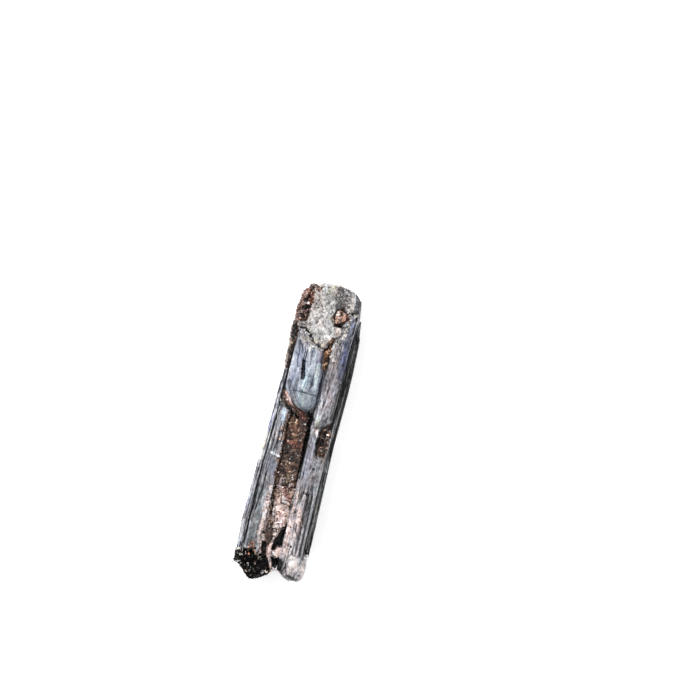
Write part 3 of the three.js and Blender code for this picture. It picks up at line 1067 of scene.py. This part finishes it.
# %% Upper right blade
upper_marks = [
    mark((4.9, 55.6), (5, 49.8), 1.0, shade=-0.18, tint=(0.82, 0.89, 1.14)),
    mark((5, 49.8), (5.3, 43.3), 0.75, shade=-0.24, tint=(0.66, 0.76, 1.26)),
    mark((5.2, 48.2), (5.5, 44.8), 0.35, shade=-0.12, tint=(0.7, 0.8, 1.25)),
    mark((5.1, 53.7), None, 0.5, shade=0.2, tint=(0.97, 0.98, 1.04)),
    mark((3, 50.3), (3.2, 43.3), 1.0, shade=-0.08, tint=(1.08, 0.96, 0.92)),
    # Pits with painted shade in them.
    mark((3, 50), (3.6, 49.4), 0.3, rise=-0.4, shade=-0.6),
    mark((2.8, 46.6), None, 0.25, rise=-0.4, shade=-0.6),
    mark((2.4, 38.8), (2.6, 33.8), 0.16, rise=0.05, shade=0.18),
    mark((3.7, 41.8), (3.6, 34.8), 0.9, shade=0.05, tint=(1.03, 0.98, 1.01)),
    mark((3, 34.2), (3.1, 32.6), 0.6, shade=0.12, tint=(1.0, 1.05, 0.92)),
    mark((5.6, 41.8), (5.5, 34.8), 0.3, shade=-0.45),
]
upper_top = [(0.0, 0.55), (0.04, 0.85), (0.1, 0.95), (0.7, 0.95), (1.0, 0.8)]
upper_left = [(0.0, 0.12), (0.04, 0.05), (0.7, 0.05), (0.8, 0.2), (1.0, 0.5)]
crystal("upper_right_blade", 89, {"bands": 0.2, "contrast": 0.88, "bright": 0.0}, GREY,
        upper_marks, {"column": 0.07, "row": 0.2},
        {**SMOOTHER, "splinter": 0.5, "given": {"top": upper_top, "left": upper_left}})


# %% [markdown]
# ## Masses of mica and schist
#
# The other minerals fill the gaps between the blades. Each mass is roughed out
# from its solid, crumbled, covered with flakes and given its finish, always in
# that order, because the flakes take their tilt from the crumbled surface.

# %% Masses
FLAKY = [((2.2, 3.0, 2.2), 0.3), ((0.9, 0.9, 0.9), 0.18), ((0.4, 0.4, 0.4), 0.1)]


def mass(node, seed, material, marks, flakes, lumps=FLAKY, rounding=6, swell=0.0, skin=(0.0, 0.3)):
    """Model one mass of flakes, give it its finish, and put it in the place of its solid."""
    piece = rough_out(node + "_mass", node)
    remesh(piece, rounding=rounding)
    crumble(piece, seed, lumps, marks, swell, skin)
    strew(piece, seed=seed, **flakes)
    place_piece(piece, material, node)


# %% [markdown]
# ### Cap
#
# The cap is silvery schist: mica scales pressed flat, so small and so level that
# it looks like rough cast metal. Its lumps are low, its flakes tiny and hardly
# tilted, and streaks run across it. The marks add the grey right half, a cream
# edge over the inset crystal, the stains round the nugget and a dark arc of
# painted shadow under it.

# %% Cap
cap_marks = [
    mark((-4.3, 60), (-2.9, 59.3), 0.5, rise=-0.2, shade=-0.3, tint=(0.9, 0.55, 0.5)),
    mark((-1.3, 53.2), (1.8, 49.7), 0.3, rise=0.15, shade=0.2),
    mark((-3.5, 54.2), (-1.3, 50.6), 0.4, rise=0.1, shade=0.1),
    mark((2.1, 60.2), (2.3, 56.8), 1.6, rise=-0.1, shade=-0.3, tint=(0.98, 0.98, 1.02)),
    mark((5, 59.6), (5.5, 57), 0.8, rise=-0.2, shade=-0.36, tint=(0.9, 0.96, 1.08)),
    mark((4.3, 60), (4.7, 58), 0.16, shade=0.35),
    mark((5.5, 59.1), (5.9, 56.3), 0.3, shade=-0.3),
    mark((-0.1, 60.4), (-0.8, 59.3), 0.5, shade=0.05, tint=(1.0, 1.02, 0.88)),
    mark((-3.2, 58.2), (-3.3, 55.8), 0.9, shade=-0.05, tint=(1.07, 0.97, 0.94)),
    mark((1, 54.4), (1.8, 54), 0.6, shade=-0.1, tint=(1.15, 0.98, 0.76)),
    mark((-5.5, 52), (-4.1, 52.1), 0.7, shade=-0.22, tint=(1.05, 0.96, 0.93)),
    mark((-1.6, 49.5), (-1.1, 49), 0.3, shade=0.3, tint=(1.1, 1.06, 0.88)),
    mark((0.4, 48.7), None, 0.4, shade=0.3, tint=(1.1, 1.06, 0.88)),
    mark((1.4, 49.1), (2.1, 50.4), 0.35, shade=-0.45, tint=(1.4, 0.85, 0.5)),
    # Painted shadow along the nugget's lower side.
    mark((1.7, 53), (3.5, 53.1), 0.2, rise=-0.3, shade=-0.7, tint=(1.2, 0.8, 0.6)),
    mark((1.9, 55.4), (2.7, 56.6), 0.35, rise=-0.3, shade=-0.6, tint=(1.4, 0.75, 0.5)),
    mark((3.1, 51.6), (2.3, 52.2), 0.7, shade=0.08, tint=(1.06, 0.98, 0.92)),
]
schist = mica("schist", CREAM, 4.0, cap_marks, metal=0.0, rough=0.45, cloudy=0.6, hues=0.05, streaks=0.9)
CRUSTED = [((4, 5, 4), 0.22), ((0.9, 1.8, 0.9), 0.14), ((0.3, 0.5, 0.3), 0.08)]
mass("cap_schist", 5, schist, cap_marks,
     {"per_mm2": 4.5, "size": (0.12, 0.4), "tilt": 14, "tone": (0.25, 0.72)}, CRUSTED, rounding=10,
     swell=-0.22, skin=(0.08, 0.48))

# %% [markdown]
# ### Brown mica round the cap
#
# Four masses of brown mica differ in grain and hue: a tan nugget in the cap, the
# red-brown crown on its left side, the darker edge below that, and a rusty seam
# between two crystals. Iron colours them all, so one brown ramp serves for most,
# and the marks tint it. Only the nugget is pale enough for the pink ramp.

# %% Brown mica
nugget_marks = [
    mark((2.8, 54.7), None, 1.8, shade=0.04, tint=(1.06, 0.91, 0.8)),
    mark((3.1, 55.1), (3.2, 54.3), 0.5, shade=0.05, tint=(1.05, 0.9, 0.78)),
    mark((3, 56.4), (4.1, 56), 0.3, rise=-0.3, shade=-0.55, tint=(1.1, 0.75, 0.6)),
    mark((3.9, 56), (4, 54), 0.4, rise=-0.4, shade=-0.6, tint=(1.1, 0.75, 0.6)),
    # Painted shadow along the nugget's lower side; the dark arcs above it are its own rim.
    mark((3.7, 53.9), (2.1, 53.2), 0.35, rise=-0.4, shade=-0.7, tint=(1.1, 0.72, 0.55)),
    mark((2.6, 55.8), (2.6, 55.1), 0.25, rise=-0.2, shade=-0.4, tint=(1.1, 0.8, 0.6)),
]
nugget = mica("tan mica", PINK, 3.5, nugget_marks, metal=0.1)
mass("nugget_mica", 6, nugget, nugget_marks,
     {"per_mm2": 12, "size": (0.2, 0.55), "tilt": 20, "tone": (0.15, 0.85)})

crown_marks = [
    mark((-5.1, 58.8), (-5.1, 53.3), 1.5, shade=0.04, tint=(1.08, 0.86, 0.86)),
    # Pits cut into the crown, with painted shade in them.
    mark((-4.9, 53.5), None, 0.5, rise=-0.5, shade=-0.6),
    mark((-5, 55), (-4.5, 55.6), 0.35, rise=-0.5, shade=-0.6),
    mark((-4.5, 57.5), (-5.2, 56.7), 0.35, rise=-0.4, shade=-0.6),
    mark((-4.5, 58.8), None, 0.35, rise=-0.4, shade=-0.5),
    mark((-5.4, 56.1), None, 0.4, shade=0.35, tint=(1.1, 1.1, 1.15)),
    mark((-5.5, 57.8), (-4.9, 59.1), 0.35, shade=0.25, tint=(1.1, 1.05, 1.05)),
    mark((-5.5, 54.4), None, 0.35, shade=0.25),
]
crown = mica("red-brown mica", BROWN, 1.0, crown_marks, hues=0.2)
mass("crown_mica", 7, crown, crown_marks,
     {"per_mm2": 11, "size": (0.25, 0.7), "tilt": 35, "tone": (0.3, 1.0)})

edge_marks = [
    mark((-6, 51.3), (-5.9, 48.8), 0.4, shade=-0.5),
    mark((-5.7, 46.8), (-5.7, 43.8), 0.3, shade=-0.5),
    mark((-6.1, 45.3), (-6.1, 43.3), 0.25, shade=0.5, tint=(0.9, 0.97, 1.0)),
    mark((-6.2, 48.3), (-6.2, 46.8), 0.2, shade=0.4, tint=(0.9, 0.95, 1.0)),
]
edge_mica = mica("edge mica", BROWN, 1.5, edge_marks)
mass("left_edge_mica", 8, edge_mica, edge_marks,
     {"per_mm2": 9, "size": (0.25, 0.6), "tilt": 40})

seam_marks = [mark((1.6, 48.8), (1.6, 44.3), 1.0, shade=0.12, tint=(1.15, 0.92, 0.68))]
rusty = mica("rusty mica", BROWN, 2.5, seam_marks)
mass("seam_mica", 9, rusty, [], {"per_mm2": 16, "size": (0.2, 0.5), "tilt": 25})

# %% [markdown]
# ### Mica of the channel
#
# The channel between the blades is brown in its upper half and pink below. The
# brown flakes are small and steep, and the pink ones longer and flatter. Deep cuts
# along parts of the walls, given painted shade, and painted shadow under the tip
# of the inset crystal and under the collar set the mica off from the crystals.

# %% Mica of the channel
channel_marks = [
    mark((-1.1, 33.8), (-1.1, 28.8), 2.2, shade=-0.06, tint=(1.05, 0.95, 0.93)),
    # Cuts along the wall, with painted shade in them.
    mark((1.3, 35), (1.4, 28.8), 0.36, rise=-1.2, shade=-1.2),
    mark((1.4, 28.8), (1.6, 21.3), 0.28, rise=-1.2, shade=-1.2),
    # Painted shadow under the tip of the inset crystal, and under the collar.
    mark((0.4, 35.4), (1.3, 33.8), 0.5, rise=-0.7, shade=-0.9),
    mark((-3.9, 35.2), (-1.2, 33.5), 0.28, rise=-0.6, shade=-0.9),
    mark((-0.9, 34.8), (0.3, 33.4), 0.5, shade=0.05, tint=(1.25, 0.75, 0.6)),
    mark((-1.1, 33.4), (-1.3, 31.6), 0.3, shade=0.35, tint=(1.0, 1.1, 0.9)),
    mark((-2.4, 33.6), (-2.4, 31.8), 0.35, shade=0.15, tint=(1.0, 1.1, 0.8)),
    mark((-1.3, 31.2), (-0.7, 29.2), 0.9, shade=0.12, tint=(1.05, 1.0, 0.9)),
    mark((-2.4, 28.5), (0.5, 27.9), 0.5, shade=0.12, tint=(1.2, 0.88, 0.84)),
    mark((-1.9, 26.8), (0.3, 25.3), 0.8, shade=-0.14),
    mark((-1.3, 24.2), (-0.1, 21), 0.8, shade=0.18, tint=(1.0, 1.03, 0.95)),
    mark((-1.1, 20.6), None, 0.4, rise=-0.5, shade=-0.6),
]
channel = mica("channel mica", BROWN, 5.0, channel_marks)
mass("channel_mica", 10, channel, channel_marks,
     {"per_mm2": 15, "size": (0.18, 0.55), "tilt": 36, "upward": 0.0, "tone": (0.05, 0.85)}, skin=(0.1, 0.5))

muscovite_marks = [
    # Cuts, pits and a deep hole, all with painted shade in them.
    mark((-2.3, 19), (-2, 13.3), 0.35, rise=-1.0, shade=-0.9),
    mark((1.5, 15.6), None, 0.35, rise=-0.8, shade=-0.8),
    mark((1.6, 12.4), None, 0.25, rise=-0.6, shade=-0.8),
    mark((0, 14.5), (0.5, 12.2), 0.75, rise=0.1, shade=0.15, tint=(1.12, 0.97, 0.97)),
    mark((1.4, 14.1), None, 0.4, shade=0.1, tint=(1.15, 1.02, 0.8)),
    mark((-1.7, 11.8), (-1.2, 8.2), 0.6, rise=-0.6, shade=-0.55, tint=(1.2, 0.95, 0.75)),
    mark((1.5, 11.4), (1.2, 9.3), 0.5, rise=-2.2, shade=-1.4),
    mark((1.2, 10), (1, 8.4), 0.75, rise=-2.2, shade=-1.4),
    mark((0.4, 9), (0.2, 7), 0.45, rise=-2.2, shade=-1.4),
    mark((-0.8, 8.2), (-0.4, 5.4), 0.3, rise=0.5, shade=0.35, tint=(1.05, 0.95, 0.95)),
    mark((-1.9, 7.6), (-1.6, 5.5), 0.55, rise=-0.8, shade=-1.0),
    mark((-0.1, 18.6), (0.7, 17.3), 0.7, shade=-0.15, tint=(1.15, 0.8, 0.75)),
    mark((1.1, 6.4), None, 0.5, shade=0.3),
]
muscovite = mica("pink mica", PINK, 3.0, muscovite_marks, metal=0.05, cloudy=1.1)
mass("channel_muscovite", 11, muscovite, muscovite_marks,
     {"per_mm2": 10, "size": (0.2, 0.9), "tilt": 28, "upward": 0.0, "long": 1.4, "tone": (0.35, 1.0)})

# %% [markdown]
# ### Large leaves
#
# A few leaves are far larger than the rest. Four lie end to end round the tip of
# the inset crystal as a collar, and five stand out at the foot of the channel.
# Scaled-up flakes would look cut out of card. So each is a lens: a sphere,
# stretched along the leaf and pressed thin as it is added, remeshed and crumbled
# a little.

# %% Large leaves
def large_leaf(name, start, end, width, middle_height, material, seed, thick=0.6):
    """One large leaf of mica that lies along a line seen from above."""
    line = mark(start, end)
    along = line.end - line.start
    centre = (line.start + line.end) / 2 + Vector((0, 0, middle_height))
    bpy.ops.object.select_all(action="DESELECT")
    bpy.ops.mesh.primitive_uv_sphere_add(
        segments=20, ring_count=12, radius=0.5, location=centre * MM,
        rotation=(0.1, 0.15, math.atan2(-along.x, along.y)),
        scale=Vector((width, along.length * 1.1, thick)) * MM)
    piece = settle(name)
    remesh(piece, 0.08, 2)
    crumble(piece, seed, [((0.9, 1.5, 0.9), 0.12), ((0.3, 0.5, 0.3), 0.06)])
    place_piece(piece, material)


bronze_marks = [mark((-1.7, 11.8), (-1.2, 8.2), 2, shade=0.08, tint=(1.1, 0.92, 0.78))]
bronze = mica("bronze mica", BROWN, 7.0, bronze_marks, cloudy=0.6)
pearl_marks = [mark((0.2, 9.8), (1.2, 2.8), 4, shade=0.55)]
pearl = mica("pearly mica", PINK, 8.0, pearl_marks, metal=0.0, cloudy=0.6)
blush_marks = [mark((-4.7, 38.1), (-3, 36), 2, shade=0.5, tint=(1.04, 0.93, 0.92))]
blush = mica("blushing mica", PINK, 9.0, blush_marks)
russet_marks = [
    mark((-3.2, 36.1), (-0.5, 34.4), 2, shade=0.25, tint=(1.2, 0.75, 0.7)),
    mark((-4.3, 6.8), None, 2, shade=0.1, tint=(1.0, 0.88, 0.84)),
]
russet = mica("russet mica", BROWN, 9.5, russet_marks)
large_leaf("collar_leaf_upper", (-4.8, 38.1), (-2.8, 35.7), 0.65, 8.15, blush, 35)
large_leaf("collar_leaf_inner", (-3.9, 36.4), (-1.7, 35), 0.5, 8.1, russet, 36)
large_leaf("collar_leaf_lower", (-3.2, 35.8), (-0.4, 34.2), 0.7, 7.6, russet, 37)
large_leaf("collar_streak", (-2.8, 35.1), (-1.9, 34.2), 0.25, 7.9, pearl, 38, thick=0.3)
large_leaf("bronze_leaf", (-1.9, 11.9), (-1.1, 7.6), 1.5, 8.0, bronze, 31, thick=0.9)
large_leaf("pearly_sliver", (-1, 8.7), (-0.2, 4.6), 0.8, 7.8, pearl, 32)
large_leaf("pearly_hook", (-0.3, 5.2), (0.5, 2.9), 0.55, 7.2, pearl, 33)
large_leaf("pearly_barb", (0.2, 3.2), (2.6, 2.4), 0.4, 6.8, pearl, 39)
large_leaf("pearly_ledge", (0.6, 6.5), (3.2, 6.6), 1.9, 7.7, pearl, 34, thick=1.0)

# %% [markdown]
# ### Pocket and foot
#
# Dark mica fills the pocket under the upper right blade, with painted shade at its
# back and a painted glint on it. At the other end a lump of nearly black mica holds
# the broken foot together, and a flake here and there catches the light. So its
# ramp stays black for most flakes and jumps to cream for the last few, as painted
# glints, and it has no coat.

# %% Pocket and foot
pocket_marks = [
    # Painted shade at the back of the pocket.
    mark((4.9, 31.8), (4.7, 29.3), 0.4, rise=-0.5, shade=-0.6),
    mark((5.1, 30.3), (5.2, 27.4), 0.7, shade=-0.05, tint=(1.0, 0.87, 0.78)),
    # A painted glint.
    mark((4, 30.7), None, 0.3, shade=0.8),
]
pocket = mica("pocket mica", BROWN, 6.0, pocket_marks)
mass("pocket_mica", 12, pocket, pocket_marks,
     {"per_mm2": 10, "size": (0.25, 0.6), "tilt": 40, "tone": (0.05, 0.85)})

foot_marks = [
    mark((-6.6, 5.2), (-6.2, 2.8), 0.45, shade=0.38, tint=(0.88, 1.0, 0.95)),
    mark((-4.1, 4.8), (-3.7, 0.8), 1.2, rise=-0.5, shade=-0.1),
    mark((-4.9, 3.5), (-3.7, 2.2), 0.3, shade=0.3),
    mark((-4.5, 4.8), None, 0.4, shade=0.2, tint=(1.6, 0.7, 0.45)),
]
foot = mica("black mica", BLACK_MICA, 2.0, foot_marks, rough=0.5, metal=0.0, coat=0.0, gloss=0.1)
mass("foot_mica", 13, foot, foot_marks, {"per_mm2": 7, "size": (0.25, 0.8), "tilt": 32})

# %% [markdown]
# ## Mica on the crystals
#
# The masses don't end at a ruled line: flakes of them stick to the crystals that
# they touch. So flakes are strewn on the finished crystals too, only where a few
# marks say, and are kept as pieces of their own.

# %% Flakes on the crystals
def sprinkle(name, host, slot, material, seed, marks, **flakes):
    """Flakes on top of a finished piece, near the marks."""
    piece = copy_of(bpy.data.objects[host], name)
    strew(piece, seed=seed, marks=marks, upward=0.3, **flakes)
    place_piece(piece, material)


FINE = {"per_mm2": 20, "size": (0.2, 0.6), "tilt": 22}
sprinkle("brown_flakes_left", "left_blade_crystal", "mica_brown", channel, 21,
         [mark((-2.9, 33.4), (-3, 28.4), 0.6), mark((-2.7, 28.8), (-2.7, 20.3), 0.4)], **FINE)
sprinkle("brown_flakes_pink", "channel_muscovite_mass", "mica_brown", channel, 41,
         [mark((-0.5, 19.3), (1.1, 19.1), 0.4), mark((0.2, 18.8), (0.4, 18), 0.3),
          mark((-2.2, 18.8), (-2.1, 13.8), 0.25), mark((-2.1, 13.8), (-1.8, 11.4), 0.3)],
         per_mm2=12, size=(0.2, 0.6), tilt=22)
sprinkle("pink_flakes_brown", "channel_mica_mass", "mica_pink", muscovite, 42,
         [mark((-1.5, 19.6), (-1.3, 21), 0.35), mark((0.6, 19.6), (0.6, 20.3), 0.3)],
         per_mm2=12, size=(0.2, 0.7), tilt=20, tone=(0.4, 0.9))
sprinkle("pink_flakes_collar", "channel_mica_mass", "mica_pink", blush, 30,
         [mark((-4.5, 37.7), (-2.8, 35.8), 0.4)], per_mm2=7, size=(0.2, 0.6), tilt=25, tone=(0.3, 0.8))
sprinkle("pink_flakes_left", "left_blade_crystal", "mica_pink", muscovite, 22,
         [mark((-3.2, 18.8), (-3.1, 6.8), 0.45)], per_mm2=4, size=(0.2, 0.7), tilt=15, tone=(0.35, 0.8))
sprinkle("pink_flakes_right", "right_blade_crystal", "mica_pink", muscovite, 23,
         [mark((2, 19.8), (2.2, 6), 0.45), mark((3.8, 14.8), (3.7, 9.8), 0.5),
          mark((3, 32), (3.6, 30.8), 0.3)],
         per_mm2=3.5, size=(0.2, 0.6), tilt=15, tone=(0.35, 0.8))
sprinkle("brown_flakes_right", "right_blade_crystal", "mica_brown", pocket, 24,
         [mark((4.2, 31.6), (4.3, 27.2), 0.3), mark((5.6, 32.2), (5.6, 27.4), 0.35)], **FINE)
GRAINS = {"per_mm2": 14, "size": (0.2, 0.6), "tilt": 25, "tone": (0.2, 0.72)}
sprinkle("schist_grains_right", "upper_right_blade_crystal", "schist", schist, 25,
         [mark((2.4, 49.4), (4, 51), 0.45), mark((4.2, 51.2), (4.5, 56), 0.35),
          mark((4.6, 56), (5.9, 56), 0.4), mark((2.7, 49.3), (2.9, 46.3), 0.5)], **GRAINS)
sprinkle("schist_grains_left", "inset_blade_crystal", "schist", schist, 26,
         [mark((-4.8, 50.9), (-3.7, 50.7), 0.55), mark((-3.7, 50.7), (-1.2, 48.1), 0.6),
          mark((-0.2, 48), (0.8, 47.5), 0.4), mark((-4.1, 49.8), (-3.5, 48.8), 0.6)], **GRAINS)
sprinkle("red_flakes_cap", "cap_schist_mass", "mica_brown", crown, 29,
         [mark((-4.5, 60), (-3, 59.3), 0.45), mark((-3.8, 58.8), (-3.9, 53.2), 0.3)], **FINE)
sprinkle("rusty_flakes_foot", "left_blade_crystal", "mica_brown", russet, 27,
         [mark((-4.3, 7), (-3.8, 5.6), 0.5)], **FINE)
sprinkle("dark_flakes_foot", "left_blade_crystal", "mica_brown", foot, 28,
         [mark((-5.3, 5.5), (-2.9, 5.9), 0.35)], **FINE)

# %% Clear the flake models away
for leaf in list(flake_models.objects):
    bpy.data.objects.remove(leaf)
bpy.data.collections.remove(flake_models)
print("meshes left:", len(bpy.data.meshes))

# %% [markdown]
# ## Table, light and camera
#
# The cluster lies on a white light table. A white floor with a lamp above would
# do, but its shadow would be dark. A table that glows a little keeps it faint.

# %% Light table
TABLE_SIZE = 2.0
TABLE_GLOW = 0.55
bpy.ops.object.select_all(action="DESELECT")
bpy.ops.mesh.primitive_plane_add(size=TABLE_SIZE)
floor = bpy.context.object
floor.name = "floor"
white, board, shader, _ = new_material("white table")
feed(board, shader, base_color=(0.9, 0.9, 0.9, 1.0), roughness=0.8)
feed(board, shader, emission_color=(1.0, 1.0, 1.0, 1.0), emission_strength=TABLE_GLOW)
floor.data.materials.append(white)

# %% [markdown]
# The walls of the room are as white as the table, and its ceiling is dimmer,
# which keeps the dark mica dark. The world's brightness can follow the direction
# that it is seen in, so one smooth step makes both. A soft lamp high on the left
# lets the laths cast small shadows of their own.

# %% Light
WALL_TOP, CEILING_EDGE = 0.15, 0.4
WALL_LIGHT, CEILING_LIGHT = 1.0, 0.65
scene = bpy.context.scene
world = bpy.data.worlds.new("studio")
scene.world = world
world.use_nodes = True
board = Board(world.node_tree)
upward = board.split(board.node("ShaderNodeTexCoord").out("Generated"))[2]
brightness = board.between(upward, WALL_TOP, CEILING_EDGE, WALL_LIGHT, CEILING_LIGHT)
background = world.node_tree.nodes["Background"]
background.inputs["Color"].default_value = (1, 1, 1, 1)
board.tree.links.new(brightness.socket, background.inputs["Strength"])
scene.view_settings.view_transform = "Standard"

LAMP_PLACE = Vector((-0.2, 0.26, 0.38))
bpy.ops.object.light_add(type="AREA", location=LAMP_PLACE)
lamp = bpy.context.object
lamp.name = "key"
lamp.data.size = 0.12
lamp.data.energy = 2.4
lamp.rotation_euler = LAMP_PLACE.to_track_quat("Z", "Y").to_euler()
print("lamp at", round(LAMP_PLACE.length, 2), "m from the cluster")

# %% [markdown]
# The camera looks straight down, turned a little, so that the cluster leans to
# the right. It stands beyond the cluster's middle, which leaves it low in the
# frame. A long lens from far away keeps the sides of the blades out of sight, and
# its distance follows from the width of the field at the height of the blades.

# %% Camera
TILT = math.radians(13.4)
LOOK_AT = Vector((5.82, 18.47, 7)) * MM
FIELD = 140 * MM
LENS = 100
bpy.ops.object.camera_add()
camera = bpy.context.object
camera.data.lens = LENS
distance = FIELD * LENS / camera.data.sensor_width
camera.location = LOOK_AT + Vector((0, 0, distance))
camera.rotation_euler = (0, 0, TILT)
camera.data.clip_start = 0.01
camera.data.clip_end = 5
scene.camera = camera
print("camera", round(distance, 3), "m above the blades")
